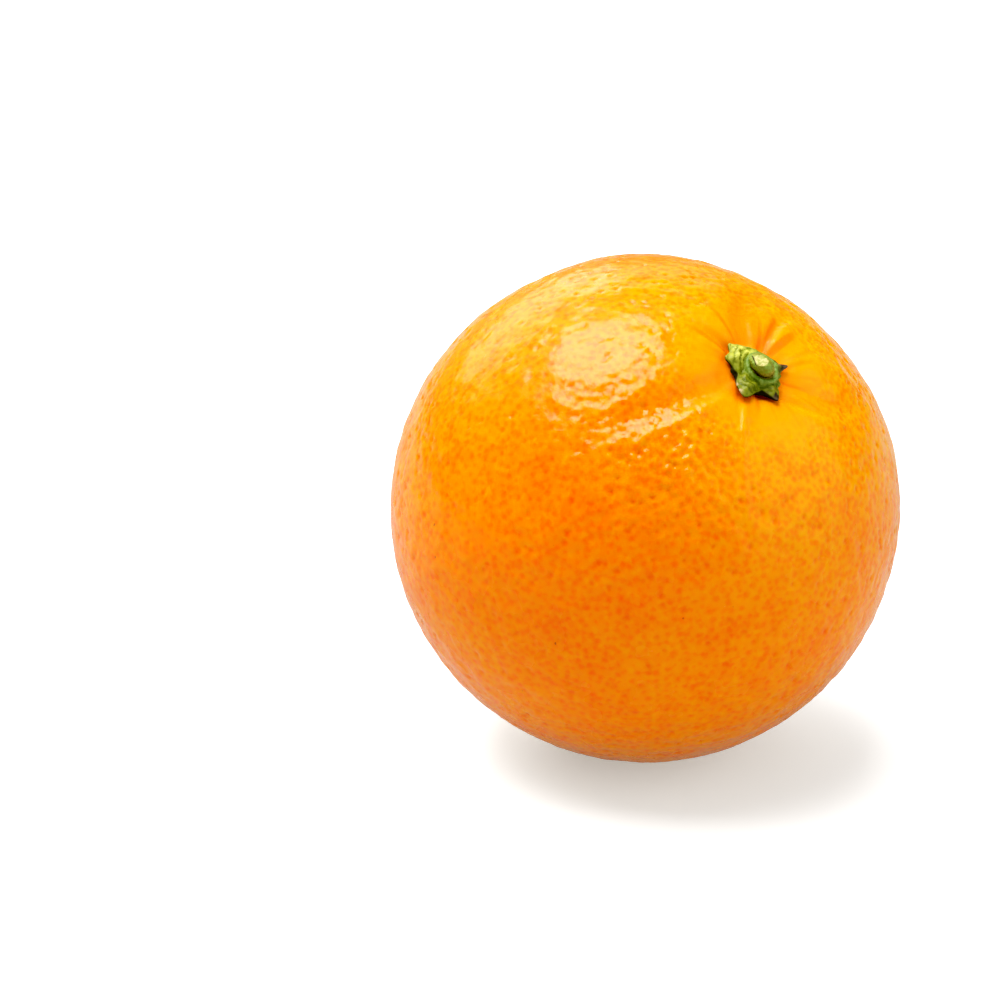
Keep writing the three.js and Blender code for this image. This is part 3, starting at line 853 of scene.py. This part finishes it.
def topRows(bearing, reach):
    # rows in from the rim over the top and down the wall of the seat; also the top's crests, which
    # carry the painted highlight
    form = calyxForm
    share = np.linspace(*form["topShare"], form["topRows"])[:, None]
    out = (reach - form["rimRound"]) * (1 - share)
    around = np.broadcast_to(bearing, out.shape)
    height, crestLight = calyxTop(out, around, np.broadcast_to(reach, out.shape))
    seat = form["seatRadius"]
    wall = smoothRamp(fromCollar(out, around), seat, seat + form["seatWall"])
    return out, form["seatFloor"] + (height - form["seatFloor"]) * wall, crestLight


def calyxMarks(out, around, reach, crestLight, onTop):
    # where the material's tones go: bells round their bearings that fade over a distance from the
    # collar, from the stem line or in from the rim, the last one wandering a little
    form = calyxForm
    spots = np.stack([out * np.cos(around), out * np.sin(around), 0 * out], axis=-1)
    wander = form["stainWander"][0] * waveField(spots, form["stainWander"], form["seed"] + 5)
    margin = reach - out + wander
    collar = fromCollar(out, around)
    seatFrom, seatTo = form["seatStain"]
    sunnyAt, sunnySpread, *sunnyOut = form["sunnyPaintedLight"]
    paleAt, paleSpread, *paleMargin = form["paleStain"]
    # the painted highlight along the upper left rim, added to the crest light
    edgeAt, edgeSpread, edgeFrom, edgeTo, edgeShare = form["paintedLitEdge"]
    firstTip, secondTip = (bell(turnAway(around, at), spread) for at, spread in form["dryTips"])
    dry = firstTip + secondTip * smoothRamp(out + wander, *form["secondTipOut"])
    pale = bell(turnAway(around, paleAt), paleSpread) * (1 - smoothRamp(margin, *paleMargin))
    edge = bell(turnAway(around, edgeAt), edgeSpread) * (1 - smoothRamp(margin, edgeFrom, edgeTo))
    seat = form["seatRadius"]
    return {
        "ring": bell(collar - form["ringRadius"], form["ringStain"] * form["ringWidth"]),
        "seat": 1 - smoothRamp(collar, seat + seatFrom, seat + seatTo),
        "sunny": bell(turnAway(around, sunnyAt), sunnySpread) * smoothRamp(collar, *sunnyOut),
        "dry": np.clip(dry, 0, 1) * smoothRamp(out, *form["dryOut"]),
        "pale": np.clip(pale, 0, 1),
        "crestLight": np.clip(crestLight + edgeShare * edge * onTop, 0, 1),
    }


def gridFaces(rows, columns):
    # quads of a grid that closes on itself along its columns
    row, column = np.meshgrid(np.arange(rows - 1), np.arange(columns), indexing="ij")
    start, here = row.ravel() * columns, column.ravel()
    after = (here + 1) % columns
    return np.stack([start + here, start + after, start + columns + after, start + columns + here],
                    axis=1)


def closedTurning(name, rings, attributes):
    # a closed surface from rings of points: quads between the rings and a fan at each end
    rows, columns, _ = rings.shape
    quads = gridFaces(rows, columns)
    hubs = np.stack([rings[0].mean(axis=0), rings[-1].mean(axis=0)])
    around = np.arange(columns)
    after = (around + 1) % columns
    firstHub, lastHub, lastRing = rows * columns, rows * columns + 1, (rows - 1) * columns
    startFan = np.stack([np.full(columns, firstHub), after, around], axis=1)
    endFan = np.stack([np.full(columns, lastHub), lastRing + around, lastRing + after], axis=1)
    faces = np.concatenate([quads[:, [0, 1, 2]], quads[:, [0, 2, 3]], startFan, endFan])
    full = {}
    for title, values in attributes.items():
        full[title] = np.concatenate([values.ravel(), [values[0].mean(), values[-1].mean()]])
    return meshObject(name, np.concatenate([rings.reshape(-1, 3), hubs]), faces, full)


def makeCalyx():
    # rings run from the middle of the underside to the rim, round it, and over the top to the seat
    form = calyxForm
    bearing = np.linspace(0, 2 * np.pi, form["sides"], endpoint=False)
    reach = calyxReach(bearing)
    underOut, underHeight = undersideRows(bearing, reach)
    rimOut, rimHeight, rimShade = rimRows(bearing, reach)
    topOut, topHeight, topCrestLight = topRows(bearing, reach)
    out = np.concatenate([underOut, rimOut, topOut])
    height = np.concatenate([underHeight, rimHeight, topHeight])
    around = np.broadcast_to(bearing, out.shape)
    polar = out / fruitForm["radius"]
    rings = directionsAt(polar, around) * (evenReach(polar, around) + height)[..., None]
    noUnder, noRim = np.zeros_like(underOut), np.zeros_like(rimOut)
    crestLight = np.concatenate([noUnder, noRim + form["rimCrestLight"], topCrestLight])
    onTop = np.concatenate([noUnder, noRim, np.ones_like(topOut)])
    marks = calyxMarks(out, around, reach, crestLight, onTop)
    # the underside's dark tone, painted shade on the rim's lower half and past the rim
    marks["under"] = np.concatenate([noUnder + 1, rimShade, np.zeros_like(topOut)])
    return closedTurning("calyx_star", atRest(rings), marks)


def calyxMaterial():
    # olive patches, with painted highlight on the crests and painted shade in the furrows, a
    # leaf-green collar, a lime lobe painted as sunlit, dry brown tips, a dark underside that shows as
    # painted shade past the rim, and a brown seat
    form = calyxForm
    material, shader, make = newMaterial("calyx_green", form["gloss"])
    place = make.objectPlace()
    under = make.attribute("under")
    patches = make.patches(place, form["patches"])
    crestLight = make.ramp(make.attribute("crestLight"), *form["crestLightRamp"])
    # painted highlight on the crests and painted shade in the furrows
    colour = make.mix(crestLight, form["furrowShadeTone"], form["crestHighlightTone"])
    colour = make.mix(make.times(patches, form["oliveShare"]), colour, form["oliveTone"])
    ringTone = make.mix(crestLight, form["ringShadeTone"], form["ringHighlightTone"])
    colour = make.mix(make.attribute("ring"), colour, ringTone)
    # painted light: the lobe on the upper left is made lime and bright as if sunlit
    sunlitLimeTone = make.mix(crestLight, form["limeShadeTone"], form["limeHighlightTone"])
    sunny = make.times(make.attribute("sunny"), make.ramp(patches, *form["sunnyLightRamp"]))
    colour = make.mix(sunny, colour, sunlitLimeTone)
    dry = make.times(make.attribute("dry"), make.patches(place, form["dryPatches"]))
    colour = make.mix(dry, colour, make.mix(patches, form["brownTone"], form["dustTone"]))
    # the dark underside: its own dry tone, and painted shade on the rim's lower half and past the rim
    colour = make.mix(make.times(under, form["underShade"]), colour, form["underTone"])
    colour = make.mix(make.attribute("pale"), colour, form["paleTone"])
    colour = make.mix(make.attribute("seat"), colour, form["seatTone"])
    make.feed(shader["Base Color"], colour)
    make.feed(shader["Roughness"], make.ramp(under, *form["roughness"]))
    make.feed(shader["Normal"], make.fineGrain(place, form["fineGrain"]))
    return material


stubForm = {
    "seed": 15,
    "sides": 160,
    "rows": 110,
    "length": 0.00222,
    # radius and height of the outline, the height as a share of the length
    "outline": [(0.00002, 0.0), (0.00145, 0.0), (0.00166, 0.04), (0.00172, 0.18), (0.00184, 0.38),
                (0.00191, 0.55), (0.00185, 0.72), (0.00166, 0.85), (0.00143, 0.93), (0.00120, 0.975),
                (0.00104, 0.99), (0.0006, 1.0), (0.00002, 1.0)],
    "softenings": 4,           # how many times the outline's corners are rounded
    "lean": (-0.0004, -0.0018),
    "leanPower": 1.3,          # more than 1 leans the upper end more
    "raised": 0.0001,          # over the calyx's seat
    "cutTilt": 20,             # degrees, and the bearing on which the cut face is highest
    "cutHeading": 20,
    # height, wavelength and number of waves of each unevenness
    "lump": (0.00007, 0.0014, 40),
    "grain": (0.00002, 0.00045, 80),
    "faceGrain": 1.2,          # of the grain's height, on the cut face
    # shares of the length between which a thing sets in
    "sideFrom": (0.0, 0.2),
    "slantFrom": (0.35, 1.0),
    "faceFrom": (0.86, 0.97),
    "cutFrom": (0.95, 0.99),
    "sideOut": (0.0004, 0.0012),  # the middle stays even
    "crackHeading": 250,
    "crackOut": 0.00080,
    "crackWidth": 0.00009,
    "crackDepth": 0.00022,
    "crackWander": 0.00008,
    "crackEdge": (-0.00005, 0.00005),  # the cut face's own tone ends at the crack
    "crackStain": 1.5,
    # colours, as red, green, blue and alpha
    "barkTone": (0.25, 0.265, 0.035, 1),
    "lightTone": (0.28, 0.37, 0.07, 1),
    "brownTone": (0.42, 0.31, 0.07, 1),
    "faceTone": (0.7, 0.64, 0.25, 1),
    "speckTone": (0.4, 0.25, 0.05, 1),
    "faceGreen": (0.42, 0.45, 0.11, 1),
    "crackTone": (0.05, 0.04, 0.01, 1),
    # each noise's scale and detail, the two ends of it that count, and what they turn into
    "patches": (800.0, 3.0, 0.4, 0.62, 0.0, 1.0),
    "specks": (4200.0, 2.0, 0.6, 0.68, 0.0, 1.0),
    "facePatches": (1400.0, 2.0, 0.4, 0.62, 0.0, 1.0),
    "baseRamp": (0.7, 0.4, 0.0, 0.85),  # shares of the length, and how brown it is there
    "fineGrain": (3000.0, 4.0, 0.5, 0.0002),  # scale, detail, strength and distance
    "gloss": {"Roughness": 0.5, "Specular IOR Level": 0.4},
}


def softOutline():
    # even steps along the stub's outline, each averaged with its neighbours a few times
    form = stubForm
    outline = np.array(form["outline"]) * (1, form["length"])
    along = np.concatenate([[0], np.cumsum(np.hypot(*np.diff(outline, axis=0).T))])
    steps = np.linspace(0, along[-1], form["rows"])
    radius = np.interp(steps, along, outline[:, 0])
    height = np.interp(steps, along, outline[:, 1])
    soft = np.array([0.25, 0.5, 0.25])
    for _ in range(form["softenings"]):
        radius[1:-1] = np.convolve(radius, soft, mode="valid")
        height[1:-1] = np.convolve(height, soft, mode="valid")
    return radius, height


def makeStub():
    # rings turned from the outline, bent over towards one side and cut off on a slant
    form = stubForm
    radius, height = softOutline()
    around = np.linspace(0, 2 * np.pi, form["sides"], endpoint=False)
    radius, around = np.meshgrid(radius, around, indexing="ij")
    height = np.broadcast_to(height[:, None], radius.shape)
    spots = np.stack([radius * np.cos(around), radius * np.sin(around), height], axis=-1)
    lumps = waveField(spots, form["lump"], form["seed"])
    grain = waveField(spots, form["grain"], form["seed"] + 1)
    share = height / form["length"]
    side = smoothRamp(share, *form["sideFrom"]) * smoothRamp(radius, *form["sideOut"])
    radius = radius + (form["lump"][0] * lumps + form["grain"][0] * grain) * side
    slant = np.tan(np.radians(form["cutTilt"])) * smoothRamp(share, *form["slantFrom"])
    slant = slant * radius * np.cos(around - np.radians(form["cutHeading"]))
    beyond = radius * np.cos(around - np.radians(form["crackHeading"])) - form["crackOut"]
    beyond = beyond + form["crackWander"] * lumps
    onFace = smoothRamp(share, *form["faceFrom"])
    crack = bell(beyond, form["crackWidth"]) * onFace
    raised = height + slant - form["crackDepth"] * crack
    raised = raised + form["faceGrain"] * form["grain"][0] * grain * onFace
    stemEnd = evenReach(np.array([0.0]), np.array([0.0]))[0]
    aside, along = calyxForm["middle"]
    bent = share ** form["leanPower"]
    rings = np.stack([radius * np.cos(around) + bent * form["lean"][0] + aside,
                      radius * np.sin(around) + bent * form["lean"][1] + along,
                      raised + stemEnd + calyxForm["seatFloor"] + form["raised"]], axis=-1)
    marks = {
        "share": share,
        "cut": smoothRamp(share, *form["cutFrom"]) * (1 - smoothRamp(beyond, *form["crackEdge"])),
        "crack": np.clip(form["crackStain"] * crack, 0, 1),
    }
    return closedTurning("stem_end", atRest(rings), marks)


def stubMaterial():
    # patched bark, browner at its base, and a speckled pale cut face with a dark crack
    form = stubForm
    material, shader, make = newMaterial("stem_green", form["gloss"])
    place = make.objectPlace()
    colour = make.mix(make.patches(place, form["patches"]), form["barkTone"], form["lightTone"])
    nearBase = make.ramp(make.attribute("share"), *form["baseRamp"])
    colour = make.mix(nearBase, colour, form["brownTone"])
    face = make.mix(make.patches(place, form["specks"]), form["faceTone"], form["speckTone"])
    face = make.mix(make.patches(place, form["facePatches"]), face, form["faceGreen"])
    colour = make.mix(make.attribute("cut"), colour, face)
    colour = make.mix(make.attribute("crack"), colour, form["crackTone"])
    make.feed(shader["Base Color"], colour)
    make.feed(shader["Normal"], make.fineGrain(place, form["fineGrain"]))
    return material


def dress(piece, material, node):
    # the piece gets its material, rides on the body and takes the place of a solid
    piece.data.materials.append(material)
    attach(piece, "root")
    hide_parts(node)


peel = makePeel()
dress(peel, peelMaterial(), "fruit")
print("peel made:", len(peel.data.polygons), "faces")
calyx = makeCalyx()
dress(calyx, calyxMaterial(), "calyx")
stub = makeStub()
dress(stub, stubMaterial(), "stem_stub")
print("calyx and stub made:", len(calyx.data.polygons) + len(stub.data.polygons), "faces")


stageForm = {
    "floorSize": 8.0,
    "floorTone": 0.95,
    "floorInLight": 0.47,      # how bright the floor is to the fruit above it, and in its gloss
    "floorInGloss": 0.30,
    "floorGlow": 0.24,
    "floorGlowFar": 0.62,      # far off, where the lamps don't reach
    "floorFadeFrom": (0.7, 2.2),
    "floorGloss": {"Roughness": 0.9, "Specular IOR Level": 0.1, "Emission Strength": 1.0},
    "skyStrength": 0.48,
    "skyShown": 1.0,           # how bright the sky is to the eye
    "skyInGloss": 0.40,        # how much of the sky's strength the gloss shows
    "boxAt": (-0.58, 0.08, 2.5),
    "boxSize": (2.0, 1.90),
    "boxRadiance": 6.4,
    # way from the floor's middle, size and radiance of each weaker panel, and whether the gloss
    # shows it
    "panels": {
        "back_panel": ((-0.45, 0.70, 0.50), (1.3, 0.7), 1.8, True),
        "side_panel": ((0.9, -0.25, 0.35), (1.8, 1.6), 0.8, True),
        "fill_panel": ((-0.60, 0.45, 0.65), (1.5, 1.3), 1.3, False),
        "top_panel": ((0.0, 0.85, 0.52), (0.8, 0.7), 0.65, True),
    },
    "panelDistance": 1.6,
    "lens": 120.0,             # millimetres, as the sensor
    "sensor": 36.0,
    "nearest": 0.01,           # what is nearer than this isn't drawn
    "distance": 0.5138,
    "elevation": 20.0,
    "frameSide": 1000,         # pixels
    "discAt": (643.9, 506.3),  # where the fruit's middle stands in the frame
    # level and shown level of a print's tones, whose toe takes the haze out of the deep colours
    "toneCurve": [(0.04, 0.004), (0.1, 0.045), (0.22, 0.17), (0.5, 0.49)],
}


def grey(level):
    # a colour without a hue
    return level, level, level, 1


def makeFloor():
    # a square, darker to the fruit than to the eye, so that the peel keeps its colour low down, that
    # glows more far off
    form = stageForm
    half = form["floorSize"] / 2
    mesh = bpy.data.meshes.new("floor")
    corners = [(-half, -half, 0), (half, -half, 0), (half, half, 0), (-half, half, 0)]
    mesh.from_pydata(corners, [], [(0, 1, 2, 3)])
    floor = bpy.data.objects.new("floor", mesh)
    bpy.context.scene.collection.objects.link(floor)
    material, shader, make = newMaterial("floor_white", form["floorGloss"])
    shade = make.mix(make.rays("Is Camera Ray"), grey(form["floorInLight"]), grey(form["floorTone"]))
    shade = make.mix(make.rays("Is Glossy Ray"), shade, grey(form["floorInGloss"]))
    make.feed(shader["Base Color"], shade)
    out = make.add("ShaderNodeVectorMath", {0: make.objectPlace()}, operation="LENGTH")["Value"]
    farAway = make.ramp(out, *form["floorFadeFrom"], 0.0, 1.0)
    glow = make.mix(farAway, grey(form["floorGlow"]), grey(form["floorGlowFar"]))
    make.feed(shader["Emission Color"], glow)
    mesh.materials.append(material)


def addPanel(name, place, size, radiance, inGloss=True):
    # a soft panel that faces the fruit; its power is its radiance times pi times its area
    lamp = bpy.data.lights.new(name, "AREA")
    lamp.shape = "RECTANGLE"
    lamp.size, lamp.size_y = size
    lamp.energy = radiance * np.pi * size[0] * size[1]
    panel = bpy.data.objects.new(name, lamp)
    panel.location = place
    panel.visible_glossy = inGloss
    panel.rotation_euler = (Vector(fruitMiddle) - Vector(place)).to_track_quat("-Z", "Y").to_euler()
    bpy.context.scene.collection.objects.link(panel)


def makeLight():
    # an even sky, weaker in the gloss and white to the eye, a large soft box and weaker panels
    form = stageForm
    world = bpy.data.worlds.new("studio")
    bpy.context.scene.world = world
    world.use_nodes = True
    sky = world.node_tree.nodes["Background"].inputs
    make = Nodes(world.node_tree)
    strength = form["skyStrength"]
    glossy = form["skyInGloss"] * strength
    strength = make.ramp(make.rays("Is Glossy Ray"), 0.0, 1.0, strength, glossy)
    strength = make.ramp(make.rays("Is Camera Ray"), 0.0, 1.0, strength, form["skyShown"])
    make.feed(sky["Color"], grey(1.0))
    make.feed(sky["Strength"], strength)
    addPanel("soft_box", form["boxAt"], form["boxSize"], form["boxRadiance"])
    for name, (way, size, radiance, inGloss) in form["panels"].items():
        place = Vector(way).normalized() * form["panelDistance"]
        addPanel(name, place, size, radiance, inGloss)


def makeCamera():
    # stands in front and above, and aims beside the fruit so that it lies where discAt says
    form = stageForm
    lift = np.radians(form["elevation"])
    back = Vector((0, -np.cos(lift), np.sin(lift)))
    up = Vector((0, np.sin(lift), np.cos(lift)))
    right = Vector((1, 0, 0))
    focal = form["lens"] / form["sensor"] * form["frameSide"]
    half = form["frameSide"] / 2
    aside, below = ((at - half) / focal * form["distance"] for at in form["discAt"])
    middle = Vector(fruitMiddle)
    aim = middle - right * aside + up * below
    lens = bpy.data.cameras.new("camera")
    lens.lens = form["lens"]
    lens.sensor_width = form["sensor"]
    lens.clip_start = form["nearest"]
    camera = bpy.data.objects.new("camera", lens)
    camera.location = middle + back * form["distance"]
    camera.rotation_euler = (aim - camera.location).to_track_quat("-Z", "Y").to_euler()
    bpy.context.scene.collection.objects.link(camera)
    bpy.context.scene.camera = camera


def setTone():
    # the last of the view's four curves is the one for all colours
    view = bpy.context.scene.view_settings
    view.view_transform = "Standard"
    view.use_curve_mapping = True
    for level, shown in stageForm["toneCurve"]:
        view.curve_mapping.curves[3].points.new(level, shown)
    view.curve_mapping.update()


makeFloor()
makeLight()
makeCamera()
setTone()
print("stage made")
